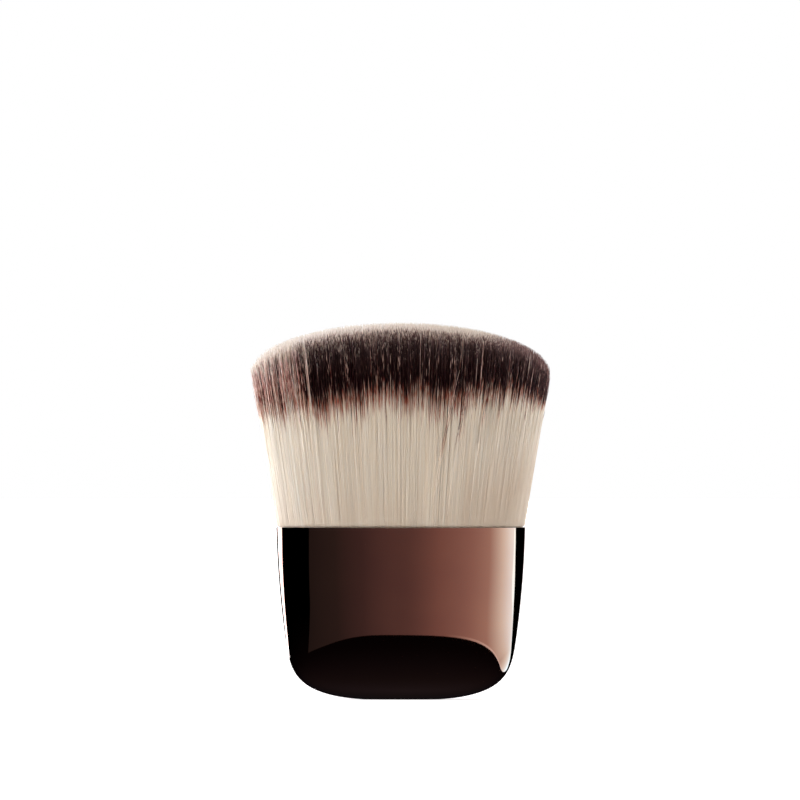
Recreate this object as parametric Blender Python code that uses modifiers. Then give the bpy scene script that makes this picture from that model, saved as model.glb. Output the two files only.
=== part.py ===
# Powder brush, held in the palm
#
# A broad domed tuft of filaments stands in a thin metal handle of rounded oval section.
# Inside the handle, from the bottom up, sit a cast weight, a moulded core block, a bed of
# cured adhesive and a drawn cup, which holds the tuft's roots in a plug of resin.
#
# Lengths are metres. +Z is up, +X runs along the width and the front faces -Y.
# The origin is the centre of the small flat that the handle rests on.

import math
import random

import bmesh
import bpy
from mathutils import Matrix, Vector

# Handle shell, outside
handle_height = 0.0344
mouth_width = 0.0498
mouth_depth = 0.0210
side_lean = 0.0008
side_bow = 0.0031
face_bow = 0.0020
corner_height = 0.0140
belly_height = 0.0200
base_cut = 0.00015
rim_round = 0.00015

# Powers of the curves: 2 is a plain ellipse, and more is squarer
section_power = 2.5
corner_fall_power = 4.5
corner_run_power = 3.0
belly_fall_power = 2.5
belly_run_power = 2.2
ring_spread_power = 1.7

# Walls and inner pieces, each measured upward from the one below
shell_wall = 0.0006
weight_height = 0.0090
core_height = 0.0095
bed_height = 0.0008
cup_floor = 0.0005
cup_wall = 0.0004
plug_height = 0.0052
cup_rim_drop = 0.0034
fit_gap = 0.0003

# Tuft
brush_height = 0.0752
shoulder_height = 0.0655
fan_width = 0.0600
fan_depth = 0.0250
front_drop = 0.0045
strand_pitch = 0.00120
strand_root_radius = 0.00040
strand_tip_radius = 0.00024
strand_clearance = 0.00015
root_bury = 0.0010
length_scatter = 0.0005
outer_line_share = 0.93

# What a cutter reaches past the face that it cuts
overrun = 0.0010

# Counts
shell_sides = 56
shell_rings = 13
inner_sides = 40
inner_rings = 9
tuft_rows = 7
lines_per_row = 2
strand_sides = 4
tip_steps = 6
scatter_seed = 11


for old_object in list(bpy.data.objects):
    bpy.data.objects.remove(old_object)

part_collection = bpy.data.collections.new("powder_brush")
cutter_collection = bpy.data.collections.new("powder_brush_cutters")
bpy.context.scene.collection.children.link(part_collection)
bpy.context.scene.collection.children.link(cutter_collection)


def make_material(name, colour, metallic, roughness):
    """A plain finish with a linear RGB colour."""
    material = bpy.data.materials.new(name)
    material.use_nodes = True
    shader = material.node_tree.nodes["Principled BSDF"]
    shader.inputs["Base Color"].default_value = (*colour, 1.0)
    shader.inputs["Metallic"].default_value = metallic
    shader.inputs["Roughness"].default_value = roughness
    return material


def add_object(name, bm, material=None):
    """Makes a sub-part from a bmesh, or a cutter where no material is given."""
    mesh = bpy.data.meshes.new(name)
    bmesh.ops.recalc_face_normals(bm, faces=bm.faces)
    bm.to_mesh(mesh)
    bm.free()
    new_object = bpy.data.objects.new(name, mesh)
    if material is None:
        cutter_collection.objects.link(new_object)
        new_object.hide_render = True
        new_object.display_type = "WIRE"
    else:
        part_collection.objects.link(new_object)
        mesh.materials.append(material)
    return new_object


def add_boolean(target, cutter, operation):
    modifier = target.modifiers.new(cutter.name, "BOOLEAN")
    modifier.operation = operation
    modifier.solver = "EXACT"
    modifier.object = cutter
    return modifier


def smooth_round(part):
    """Smooth shading on the round faces, with the rims left sharp."""
    part.data.shade_smooth()
    part.data.set_sharp_from_angle(angle=math.radians(40))


# Outer form of the handle

def bottom_rounding(height, start, fall_power, run_power):
    """Share of the full size that is left at a height, where rounding begins at start."""
    below_share = max(0.0, 1.0 - height / start)
    return (1.0 - below_share ** fall_power) ** (1.0 / run_power)


def half_width(height):
    """Half of the handle's width: nearly straight sides that bow in, then round corners."""
    down_share = 1.0 - height / handle_height
    side = mouth_width / 2 - side_lean * down_share - side_bow * down_share ** 2
    return side * bottom_rounding(
        height + base_cut, corner_height, corner_fall_power, corner_run_power)


def half_depth(height):
    """Half of the handle's depth: full faces that roll under to the base."""
    down_share = 1.0 - height / handle_height
    face = mouth_depth / 2 - face_bow * down_share ** 2
    return face * bottom_rounding(
        height + base_cut, belly_height, belly_fall_power, belly_run_power)


def oval_share(angle):
    """A point of the unit oval section, as shares of its half width and half depth."""
    cos, sin = math.cos(angle), math.sin(angle)
    power = 2.0 / section_power
    return (math.copysign(abs(cos) ** power, cos), math.copysign(abs(sin) ** power, sin))


def handle_form(inset, top, sides, rings):
    """The handle's outer form up to a height, as a closed solid moved inward by inset."""
    bm = bmesh.new()
    loops = []
    for ring in range(rings + 1):
        height = top * (ring / rings) ** ring_spread_power
        loop = []
        for side in range(sides):
            x_share, y_share = oval_share(math.tau * side / sides)
            place = (x_share * half_width(height), y_share * half_depth(height), height)
            loop.append(bm.verts.new(place))
        loops.append(loop)
    for lower, upper in zip(loops, loops[1:]):
        for side in range(sides):
            after = (side + 1) % sides
            bm.faces.new((lower[side], lower[after], upper[after], upper[side]))
    bm.faces.new(list(reversed(loops[0])))
    bm.normal_update()
    moves = [(vert, vert.normal * inset * vert.calc_shell_factor()) for vert in bm.verts]
    for vert, move in moves:
        vert.co -= move
    bm.faces.new(loops[-1])
    return bm


def add_block(name, low, high):
    """A box cutter between two corners."""
    bm = bmesh.new()
    bmesh.ops.create_cube(bm, size=1.0)
    size = Vector(high) - Vector(low)
    middle = (Vector(high) + Vector(low)) / 2
    bmesh.ops.transform(bm, verts=bm.verts, matrix=Matrix.Diagonal((*size, 1.0)))
    bmesh.ops.translate(bm, verts=bm.verts, vec=middle)
    return add_object(name, bm)


def keep_slab(part, low_height, high_height, front=None, back=None):
    """Keeps what lies between two heights and, for a row, between two depths."""
    reach_x = mouth_width / 2 + overrun
    reach_y = mouth_depth / 2 + overrun
    low = (-reach_x, -reach_y if front is None else front, low_height)
    high = (reach_x, reach_y if back is None else back, high_height)
    block = add_block(part.name + "_slab", low, high)
    add_boolean(part, block, "INTERSECT")


# Finishes

shell_finish = make_material("polished_bronze_plating", (0.070, 0.030, 0.024), 1.0, 0.08)
weight_finish = make_material("cast_zinc", (0.32, 0.33, 0.34), 1.0, 0.55)
core_finish = make_material("moulded_plastic", (0.035, 0.035, 0.037), 0.0, 0.50)
bed_finish = make_material("cured_epoxy", (0.62, 0.50, 0.28), 0.0, 0.30)
cup_finish = make_material("drawn_aluminium", (0.78, 0.78, 0.79), 1.0, 0.32)
strand_finish = make_material("cream_filament", (0.66, 0.57, 0.46), 0.0, 0.50)


# Handle shell

mouth_overrun = handle_height + overrun
shell_bm = handle_form(0.0, handle_height, shell_sides, shell_rings)
handle_shell = add_object("handle_shell", shell_bm, shell_finish)
cavity_bm = handle_form(shell_wall, mouth_overrun, shell_sides, shell_rings)
add_boolean(handle_shell, add_object("shell_cavity", cavity_bm), "DIFFERENCE")
rim_bevel = handle_shell.modifiers.new("rim_round", "BEVEL")
rim_bevel.width = rim_round
rim_bevel.segments = 2
rim_bevel.limit_method = "ANGLE"
rim_bevel.angle_limit = math.radians(60)
smooth_round(handle_shell)


# Stack inside the shell

inner_inset = shell_wall + fit_gap


def add_insert(name, low_height, high_height, material):
    """A solid that fills the shell's inside between two heights."""
    insert_bm = handle_form(inner_inset, mouth_overrun, inner_sides, inner_rings)
    insert = add_object(name, insert_bm, material)
    keep_slab(insert, low_height, high_height)
    smooth_round(insert)
    return insert


weight_top = inner_inset + weight_height
core_bottom = weight_top + fit_gap
core_top = core_bottom + core_height
bed_bottom = core_top + fit_gap
bed_top = bed_bottom + bed_height
cup_bottom = bed_top + fit_gap
cup_rim = handle_height - cup_rim_drop

add_insert("weight_slug", 0.0, weight_top, weight_finish)
add_insert("core_block", core_bottom, core_top, core_finish)
add_insert("epoxy_bed", bed_bottom, bed_top, bed_finish)
ferrule_cup = add_insert("ferrule_cup", cup_bottom, cup_rim, cup_finish)

cup_inset = inner_inset + cup_wall
hollow_bm = handle_form(cup_inset, mouth_overrun, inner_sides, inner_rings)
cup_hollow = add_object("cup_hollow", hollow_bm)
keep_slab(cup_hollow, cup_bottom + cup_floor, cup_rim + overrun)
add_boolean(ferrule_cup, cup_hollow, "DIFFERENCE")


# Tuft: the plug of resin is cut into rows from front to back, with the strands fused to them

plug_bottom = cup_bottom + cup_floor + fit_gap
plug_top = plug_bottom + plug_height
plug_inset = cup_inset + fit_gap

# The widest strand just clears the cup's rim on its straight way to the shoulder
rim_half_width = half_width(cup_rim) - cup_inset - strand_root_radius - strand_clearance
rim_half_depth = half_depth(cup_rim) - cup_inset - strand_root_radius - strand_clearance
rim_height_share = (cup_rim - plug_top) / (shoulder_height - plug_top)


def root_reach(rim_reach, shoulder_reach):
    """Where a straight strand starts that passes the rim and ends at the shoulder."""
    return (rim_reach - shoulder_reach * rim_height_share) / (1.0 - rim_height_share)


root_half_width = root_reach(rim_half_width, fan_width / 2)
root_half_depth = root_reach(rim_half_depth, fan_depth / 2)
row_step = 2 * outer_line_share * root_half_depth / (tuft_rows - 1 / lines_per_row)
line_step = (row_step - fit_gap) / lines_per_row


def strand_place(x_share, y_share, height):
    """Centre of a strand at a height: every strand leans out from the middle alike."""
    up_share = (height - plug_top) / (shoulder_height - plug_top)
    reach_x = root_half_width + (fan_width / 2 - root_half_width) * up_share
    reach_y = root_half_depth + (fan_depth / 2 - root_half_depth) * up_share
    return Vector((x_share * reach_x, y_share * reach_y, height))


def dome_height(place):
    """Height of the trimmed dome over a place: an ellipse across, lower at front and back."""
    dome_rise = brush_height - shoulder_height
    edge_share = 1.0 - (1.0 - front_drop / dome_rise) ** 2
    across = (place.x / (fan_width / 2)) ** 2
    along = edge_share * (place.y / (fan_depth / 2)) ** 2
    return shoulder_height + dome_rise * math.sqrt(max(0.0, 1.0 - across - along))


def add_strand(bm, x_share, y_share, shortening):
    """One straight filament from inside the plug to the dome."""
    root = strand_place(x_share, y_share, plug_top - root_bury)
    tip = strand_place(x_share, y_share, shoulder_height)
    for _ in range(tip_steps):
        tip = strand_place(x_share, y_share, dome_height(tip))
    tip = strand_place(x_share, y_share, tip.z - shortening)
    way = tip - root
    turn = Vector((0, 0, 1)).rotation_difference(way).to_matrix().to_4x4()
    bmesh.ops.create_cone(
        bm, cap_ends=True, segments=strand_sides, depth=way.length,
        radius1=strand_root_radius, radius2=strand_tip_radius,
        matrix=Matrix.Translation((root + tip) / 2) @ turn)


def line_shares(y_share, line):
    """Even places along one line of strands, staggered from one line to the next."""
    chord_share = (1.0 - abs(y_share) ** section_power) ** (1.0 / section_power)
    spaces = int(2 * chord_share * root_half_width / strand_pitch)
    if spaces % 2 != line % 2:
        spaces -= 1
    return [chord_share * (2 * place / spaces - 1) for place in range(spaces + 1)]


scatter = random.Random(scatter_seed)
strand_count = 0
for row in range(tuft_rows):
    row_front = row_step * (row - tuft_rows / 2)
    cut_front = None if row == 0 else row_front + fit_gap / 2
    cut_back = None if row == tuft_rows - 1 else row_front + row_step - fit_gap / 2
    slice_bm = handle_form(plug_inset, mouth_overrun, inner_sides, inner_rings)
    tuft_row = add_object("tuft_row_%d" % (row + 1), slice_bm, strand_finish)
    keep_slab(tuft_row, plug_bottom, plug_top, cut_front, cut_back)

    strands_bm = bmesh.new()
    for line in range(lines_per_row):
        line_y = row_front + fit_gap / 2 + line_step * (line + 0.5)
        y_share = line_y / root_half_depth
        for x_share in line_shares(y_share, line):
            add_strand(strands_bm, x_share, y_share, length_scatter * scatter.random())
            strand_count += 1
    strands = add_object("tuft_row_%d_strands" % (row + 1), strands_bm)
    add_boolean(tuft_row, strands, "UNION")

print("strands:", strand_count)
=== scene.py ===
# %% [markdown]
# # A powder brush with a polished bronze handle
#
# This lesson dresses a plain model of a brush. The plain model, called the frame here, already has
# the right sizes. The lesson adds what the eye looks for: a handle so smooth that it mirrors the
# studio, and tens of thousands of soft filaments, dyed dark near their tips.
#
# Lengths are metres, +Z is up and the front of the brush faces -Y.

# %% Load the frame
import math

import bmesh
import bpy
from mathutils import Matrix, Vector


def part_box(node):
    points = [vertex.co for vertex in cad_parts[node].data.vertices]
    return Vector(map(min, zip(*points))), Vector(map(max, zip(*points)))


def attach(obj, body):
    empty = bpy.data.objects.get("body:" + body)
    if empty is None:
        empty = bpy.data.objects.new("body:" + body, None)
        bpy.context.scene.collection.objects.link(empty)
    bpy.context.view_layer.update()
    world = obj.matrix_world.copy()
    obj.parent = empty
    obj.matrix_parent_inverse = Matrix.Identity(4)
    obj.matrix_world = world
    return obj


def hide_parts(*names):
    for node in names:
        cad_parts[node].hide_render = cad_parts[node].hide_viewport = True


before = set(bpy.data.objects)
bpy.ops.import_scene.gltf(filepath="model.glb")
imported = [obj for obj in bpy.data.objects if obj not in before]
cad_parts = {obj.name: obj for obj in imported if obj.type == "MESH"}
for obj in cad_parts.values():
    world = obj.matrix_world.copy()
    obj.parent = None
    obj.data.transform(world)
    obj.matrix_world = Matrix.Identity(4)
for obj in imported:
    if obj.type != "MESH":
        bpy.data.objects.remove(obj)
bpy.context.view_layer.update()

# %% [markdown]
# ## Small tools
#
# Blender's shaders work with linear colour, while a colour picker gives sRGB, so one function turns
# a hex value into linear light. A second one adds a node of any kind: its sockets are filled in
# order or by name, with numbers or with other nodes, and what is left are the node's own settings.

# %% Colours and nodes
mm = 0.001


def colour(hex_value):
    """An sRGB hex colour as linear red, green, blue and alpha."""
    channels = [int(hex_value[place:place + 2], 16) / 255 for place in (1, 3, 5)]
    linear = [c / 12.92 if c <= 0.04045 else ((c + 0.055) / 1.055) ** 2.4 for c in channels]
    return (*linear, 1.0)


def add_node(tree, kind, inputs=(), **settings):
    """Adds a node. An input is a number, a colour, a socket, or a node whose first output is used."""
    node = tree.nodes.new(kind)
    for name, value in settings.items():
        setattr(node, name, value)
    for key, value in inputs.items() if isinstance(inputs, dict) else enumerate(inputs):
        if isinstance(value, bpy.types.Node):
            value = value.outputs[0]
        if isinstance(value, bpy.types.NodeSocket):
            tree.links.new(value, node.inputs[key])
        elif value is not None:
            node.inputs[key].default_value = value
    return node


MATH = "ShaderNodeMath"
VECTOR = "ShaderNodeVectorMath"
RANGE = "ShaderNodeMapRange"
RAMP = "ShaderNodeValToRGB"
NOISE = "ShaderNodeTexNoise"
CHANCE = "ShaderNodeTexWhiteNoise"
SPLIT = "ShaderNodeSeparateXYZ"
COMBINE = "ShaderNodeCombineXYZ"

print("pure white is", colour("#ffffff"))

# %% [markdown]
# A finish is a material with one Principled shader. The function below makes the empty finish and
# hands back the node tree and the shader, so that each finish can then be built up in its own cell.
# The numbers that stay the same all over a surface go straight on to the shader's sockets.

# %% Materials and colour ramps
def new_finish(name, **values):
    """A material with a Principled shader. A value's name is the socket's, with _ for each space."""
    material = bpy.data.materials.new(name)
    material.use_nodes = True
    tree = material.node_tree
    shader = tree.nodes["Principled BSDF"]
    for socket, value in values.items():
        shader.inputs[socket.replace("_", " ")].default_value = value
    return material, tree, shader


def set_stops(ramp, stops):
    """Gives a colour ramp its stops, from (place, hex colour) pairs."""
    elements = ramp.color_ramp.elements
    while len(elements) < len(stops):
        elements.new(0.5)
    for element, (place, hex_value) in zip(elements, stops):
        element.position = place
        element.color = colour(hex_value)


# %% [markdown]
# ## Camera
#
# The photograph was taken from straight ahead with a long lens, so nothing on the brush looks
# nearer or wider than it is. A 450 mm lens from two metres does the same: 160 mm of the world
# fills the picture, and the brush stands in the lower middle of it.

# %% Camera
camera_distance = 2.0
camera_height = 59.86 * mm
camera_side = -0.18 * mm

camera_data = bpy.data.cameras.new("camera")
camera_data.lens = 450
camera_data.sensor_width = 36
camera = bpy.data.objects.new("camera", camera_data)
camera.location = (camera_side, -camera_distance, camera_height)
camera.rotation_euler = (math.radians(90), 0, 0)
bpy.context.scene.collection.objects.link(camera)
bpy.context.scene.camera = camera

view = bpy.context.scene.view_settings
view.view_transform = "Standard"
print("picture width at the brush:", round(camera_data.sensor_width / camera_data.lens * 2, 3), "m")

# %% [markdown]
# ## Room light
#
# The background is white to the camera and in reflections, but the light that falls on the brush
# from it is kept at a plain level and a little warm, as from cream walls. The Light Path node tells
# the two apart, so the white never washes out the pale filaments.

# %% World
room_level = 0.52
room_hex = "#fff0e2"

world = bpy.data.worlds.new("white_studio")
bpy.context.scene.world = world
world.use_nodes = True
tree = world.node_tree
path = add_node(tree, "ShaderNodeLightPath")
shown = add_node(tree, MATH, (path.outputs["Is Camera Ray"], path.outputs["Is Glossy Ray"]),
                 operation="MAXIMUM")
shown = add_node(tree, MATH, (shown, path.outputs["Is Transmission Ray"]), operation="MAXIMUM")
room_light = [room_level * channel for channel in colour(room_hex)]
seen = add_node(tree, "ShaderNodeMix", {0: shown, 6: room_light, 7: colour("#ffffff")},
                data_type="RGBA").outputs[2]
tree.links.new(seen, tree.nodes["Background"].inputs["Color"])
print("light of the room:", [round(channel, 2) for channel in room_light])

# %% [markdown]
# The floor is a wide pale sheet. It is a plain diffuse surface plus a little light of its own that
# only the camera sees, which lifts it to white and leaves the shadow under the brush.
#
# A bmesh is a mesh that is still being edited. The helper below makes an object of one, here for the
# floor and later for the cards and the resin plug.

# %% Floor
floor_size = 8.0
floor_drop = 0.05 * mm
floor_lift = 0.60


def add_piece(name, bm, material):
    """Makes an object of a bmesh and puts it in the scene."""
    mesh = bpy.data.meshes.new(name)
    bm.to_mesh(mesh)
    bm.free()
    mesh.materials.append(material)
    piece = bpy.data.objects.new(name, mesh)
    bpy.context.scene.collection.objects.link(piece)
    return piece


floor_paper = bpy.data.materials.new("matte_white_paper")
floor_paper.use_nodes = True
tree = floor_paper.node_tree
tree.nodes.clear()
path = add_node(tree, "ShaderNodeLightPath")
lift = add_node(tree, MATH, (path.outputs["Is Camera Ray"], floor_lift), operation="MULTIPLY")
paper = add_node(tree, "ShaderNodeBsdfDiffuse", {"Color": colour("#e6e6e6")})
glow = add_node(tree, "ShaderNodeEmission", {"Color": colour("#ffffff"), "Strength": lift})
both = add_node(tree, "ShaderNodeAddShader", (paper, glow))
add_node(tree, "ShaderNodeOutputMaterial", {"Surface": both})

bm = bmesh.new()
bmesh.ops.create_grid(bm, x_segments=1, y_segments=1, size=floor_size / 2)
bmesh.ops.translate(bm, verts=bm.verts, vec=(0, 0, -floor_drop))
floor = add_piece("floor", bm, floor_paper)
floor.visible_glossy = False
print("floor:", floor_size, "m wide,", round(floor_drop / mm, 2), "mm below the brush")

# %% [markdown]
# Five soft lamps shape the tuft. The strongest stands at the left and a little behind, and makes
# the left edge of the filaments almost white. A weaker one beside it carries that light further
# round, two more light the front and the right, and the last looks down on the tips. They are hidden
# from reflections, because the handle mirrors cards instead.

# %% Lamps
lamps = {
    "left_lamp": {"azimuth": -97, "elevation": 4, "level": 10.5, "spread": 22, "hex": "#e0eaff"},
    "fill_lamp": {"azimuth": -86, "elevation": 6, "level": 3.85, "spread": 60, "hex": "#ffffff"},
    "front_lamp": {"azimuth": 20, "elevation": 8, "level": 1.85, "spread": 90, "hex": "#ffeedc"},
    "right_lamp": {"azimuth": 62, "elevation": 12, "level": 1.00, "spread": 60, "hex": "#e2e9ff"},
    "top_lamp": {"azimuth": 10, "elevation": 72, "level": 0.50, "spread": 40, "hex": "#ffffff"},
}


def direction(azimuth, elevation):
    """A unit vector: azimuth 0 points to the camera, 90 to the right, in degrees."""
    around, up = math.radians(azimuth), math.radians(elevation)
    return Vector((math.sin(around) * math.cos(up), -math.cos(around) * math.cos(up), math.sin(up)))


for name, lamp in lamps.items():
    data = bpy.data.lights.new(name, "SUN")
    data.energy = lamp["level"]
    data.color = colour(lamp["hex"])[:3]
    data.angle = math.radians(lamp["spread"])
    light = bpy.data.objects.new(name, data)
    way = direction(lamp["azimuth"], lamp["elevation"])
    light.rotation_euler = way.to_track_quat("Z", "Y").to_euler()
    light.visible_glossy = False
    bpy.context.scene.collection.objects.link(light)
    print(name, "shines from", tuple(round(value, 2) for value in way))

# %% [markdown]
# ## What the handle mirrors
#
# A mirror has no look of its own: it shows what stands around it. A photographer hangs cards round
# a glossy product and shapes its reflections with them, and so does this cell. The cards lie on a
# wide ball round the brush, inside a dark tent. Each is drawn in azimuth and elevation, like a map,
# and only reflections see it.

# %% Shape of a card
card_radius = 3.0
card_step = 1.0
card_rows = 10


def edge_at(points, azimuth):
    """Elevation of a smooth line through (azimuth, elevation) points."""
    last = len(points) - 1
    place = max(number for number in range(last) if azimuth >= points[number][0] or number == 0)
    (x0, y0), (x1, y1) = points[place], points[place + 1]
    before = points[max(0, place - 1)]
    after = points[min(last, place + 2)]
    slope0 = (y1 - before[1]) / (x1 - before[0])
    slope1 = (after[1] - y0) / (after[0] - x0)
    gap = x1 - x0
    share = (azimuth - x0) / gap
    bend0 = (1 + 2 * share) * (1 - share) ** 2 * y0 + share ** 2 * (3 - 2 * share) * y1
    bend1 = share * (1 - share) ** 2 * gap * slope0 - share ** 2 * (1 - share) * gap * slope1
    return bend0 + bend1


def show_in_reflections(piece):
    """Hides a piece of the studio from all rays but those of a reflection."""
    for ray in ("camera", "diffuse", "transmission", "volume_scatter", "shadow"):
        setattr(piece, "visible_" + ray, False)


def add_card(name, start, end, low_edge, high_edge, material, radius=card_radius):
    """A card from one azimuth to another, between two lines."""
    columns = math.ceil((end - start) / card_step)
    bm = bmesh.new()
    grid = []
    for column in range(columns + 1):
        azimuth = start + (end - start) * column / columns
        low, high = edge_at(low_edge, azimuth), edge_at(high_edge, azimuth)
        rises = [low + (high - low) * row / card_rows for row in range(card_rows + 1)]
        grid.append([bm.verts.new(direction(azimuth, rise) * radius) for rise in rises])
    for left, right in zip(grid, grid[1:]):
        for row in range(card_rows):
            bm.faces.new((left[row], left[row + 1], right[row + 1], right[row]))
    show_in_reflections(add_piece(name, bm, material))


print("a line through (0, 0), (10, 10) and (20, 0) is at", edge_at([(0, 0), (10, 10), (20, 0)], 5),
      "when it passes 5")

# %% [markdown]
# The bronze colours whatever it mirrors. Each card is therefore painted with the colour that the
# handle should show, divided by the colour of the bronze under its lacquer.

# %% Paint of the cards
bronze = colour("#8c5b4b")
lacquer_share = 0.04
mirror = [lacquer_share + (1 - lacquer_share) * channel for channel in bronze[:3]]
strip_share = 0.15
paint_skew = 0.40
least_slant = 0.63


def card_paint(name, start, end, stops, tint=mirror, by_elevation=False):
    """Glowing paint whose colour, divided by a tint, runs from one azimuth or elevation to another."""
    material = bpy.data.materials.new(name)
    material.use_nodes = True
    material.cycles.emission_sampling = "NONE"
    tree = material.node_tree
    tree.nodes.clear()
    place = add_node(tree, "ShaderNodeTexCoord").outputs["Object"]
    unit = add_node(tree, VECTOR, (place,), operation="NORMALIZE")
    parts = add_node(tree, SPLIT, (unit,))
    angle = rise = add_node(tree, MATH, (parts.outputs["Z"],), operation="ARCSINE")
    if not by_elevation:
        # The handle tapers, so the paint runs a little slanted to look upright in it
        toward = add_node(tree, MATH, (parts.outputs["Y"], -1.0), operation="MULTIPLY")
        turn = add_node(tree, MATH, (parts.outputs["X"], toward), operation="ARCTAN2")
        slant = add_node(tree, MATH, (turn, turn), operation="MULTIPLY")
        slant = add_node(tree, MATH, (slant, rise), operation="MULTIPLY")
        slant = add_node(tree, MATH, (slant, paint_skew, 1.0), operation="MULTIPLY_ADD")
        slant = add_node(tree, MATH, (slant, least_slant), operation="MAXIMUM")
        angle = add_node(tree, MATH, (turn, slant), operation="MULTIPLY")
    share = add_node(tree, RANGE, (angle, math.radians(start), math.radians(end), 0.0, 1.0))
    ramp = add_node(tree, RAMP, (share,))
    set_stops(ramp, [((place - start) / (end - start), hex_value) for place, hex_value in stops])
    light = add_node(tree, VECTOR, (ramp, tint), operation="DIVIDE")
    glow = add_node(tree, "ShaderNodeEmission", (light,))
    add_node(tree, "ShaderNodeOutputMaterial", {"Surface": glow})
    return material


main_paint = card_paint("graded_card_paint", -56, 100, [
    (-46, "#1e1310"), (-22, "#281915"), (-9, "#3a221e"), (0, "#4e2e28"), (9, "#6e4238"),
    (25, "#865649"), (40, "#996959"), (58, "#cca995"), (72, "#dfc5b7"), (88, "#ead5ca")])
rim_paint = card_paint("card_rim_paint", 10, 138, [
    (12, "#724539"), (30, "#a67666"), (50, "#cfa594"), (71, "#dbbfb1"), (95, "#dec6ba"), (137, "#dec8b9")])
glint_paint = card_paint("glint_card_paint", 80, 112, [
    (84, "#fff0e2"), (93, "#fff4e8"), (98, "#efdcd0"), (106, "#dfc9bb")])
white_paint = card_paint("white_card_paint", -150, -110, [(-150, "#ffffff"), (-110, "#ffffff")],
                         tint=[strip_share] * 3)
back_paint = card_paint("back_card_paint", 140, 220, [
    (146, "#140b0a"), (160, "#4e2e28"), (178, "#966858"), (196, "#6e4238"), (214, "#1e1310")])
tent_paint = card_paint("dark_tent_paint", -90, 90, [
    (-90, "#1c1212"), (-65, "#140b0a"), (-45, "#0d0606"), (-30, "#060202"), (-10, "#000000")],
    by_elevation=True)
print("the handle mirrors", [round(share, 2) for share in mirror], "of red, green and blue")

# %% [markdown]
# In front hangs one broad card with a corner at either end. A brighter rim runs along its lower edge
# and a glint up its right side. A white strip stands behind at the left, and another card behind the
# brush. The rim and the glint hang a little nearer than the rest, so they cover it.

# %% Hang the cards
near_card_radius = 2.9
tent_radius = 3.4
rim_height = 1.3
front_low = [(-56, -27), (-33, -26), (-8, -22), (6, -22), (20, -22.8), (36, -24.3), (53, -26.7),
             (62, -28.9), (75, -32.6), (91, -36), (109, -35.2), (124, -30.7), (134, -25.1), (137.5, -21)]
front_top = [(-56, 80), (150, 80)]
tongue_top = [(70, 4), (84, 0), (91.6, -1.5), (94.2, -3.6), (99.5, -5.8), (109, -9), (119, -11.8),
              (128, -15.3), (132.5, -18), (137.5, -21)]
strip_tail_top = [(-161, -5.2), (-150, -4.6), (-142, -4.0)]
strip_low = [(-161, -6.5), (-146, -7.7), (-135, -7.4), (-128, -6), (-122, -4.7), (-117, -3.1),
             (-113, -1.4), (-110, 4)]
rim_top = [(azimuth, low + rim_height) for azimuth, low in front_low]
glint_low = [(80, -3), (85, -4.5), (91, -6.8), (98, -7)]
glint_end_low = [(85, -4.5), (91, -6.8), (98, -7.6), (107, -9.2)]
add_card("front_card_left_corner", -56, -43, front_low, [(-56, -27), (-43, -1), (-30, 25)], main_paint)
add_card("front_card", -43, 91, front_low, front_top, main_paint)
add_card("front_card_right_corner", 91, 137.5, front_low, tongue_top, main_paint)
add_card("left_strip", -147.5, -111, strip_low, [(-152, 60), (-110, 60)], white_paint)
add_card("left_strip_tail", -160, -147.5, strip_low, strip_tail_top, white_paint)
add_card("back_card", 160, 200, [(146, -22), (214, -22)], [(146, 80), (214, 80)], back_paint)
for name, start, end, low_edge, high_edge, paint in (
        ("card_rim", 12, 137.5, front_low, rim_top, rim_paint),
        ("right_glint", 87, 91, glint_low, front_top, glint_paint),
        ("right_glint_end", 91, 106, glint_end_low, tongue_top, glint_paint)):
    add_card(name, start, end, low_edge, high_edge, paint, near_card_radius)

bm = bmesh.new()
bmesh.ops.create_uvsphere(bm, u_segments=64, v_segments=32, radius=tent_radius)
show_in_reflections(add_piece("dark_tent", bm, tent_paint))

# %% [markdown]
# ## The bronze finish
#
# The handle is drawn from thin brass sheet, ground, polished on a felt wheel, plated to a dark
# bronze and sealed with a clear lacquer. The plating is a metal, so its colour is in its
# reflection; the lacquer adds a thin colourless gloss on top. Polishing leaves hair-fine lines that
# run round the handle and a faint waviness. Both are much too small to see one by one, and only
# soften the reflections a little.

# %% Bronze
polished_bronze, tree, shader = new_finish(
    "polished_bronze_under_lacquer", Metallic=1.0, Coat_Weight=1.0, Coat_Roughness=0.02)
place = add_node(tree, "ShaderNodeTexCoord").outputs["Object"]
wave_width = 9 * mm
line_height = 0.06 * mm
clouds = add_node(tree, NOISE, {"Vector": place, "Scale": 1 / wave_width, "Detail": 2.0})
tone = add_node(tree, RAMP, (clouds,))
set_stops(tone, [(0.35, "#8a594a"), (0.65, "#8e5d4c")])
lines_place = add_node(tree, "ShaderNodeMapping", {"Vector": place, "Scale": (0.02, 0.02, 1.0)})
lines = add_node(tree, NOISE, {"Vector": lines_place, "Scale": 1 / line_height})
rough = add_node(tree, RANGE, (lines, 0.3, 0.7, 0.025, 0.05))
tree.links.new(tone.outputs[0], shader.inputs["Base Color"])
tree.links.new(rough.outputs[0], shader.inputs["Roughness"])
print("bronze:", len(tree.nodes), "nodes")

# %% [markdown]
# ## Making pieces with Geometry Nodes
#
# Two things here follow a rule: the shape of the handle, and the place of each filament. Both are
# made by a node tree with named inputs, the way a modeller would keep sliders for them. The
# function below runs such a tree once on an empty object and keeps the result as a plain mesh.

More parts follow.
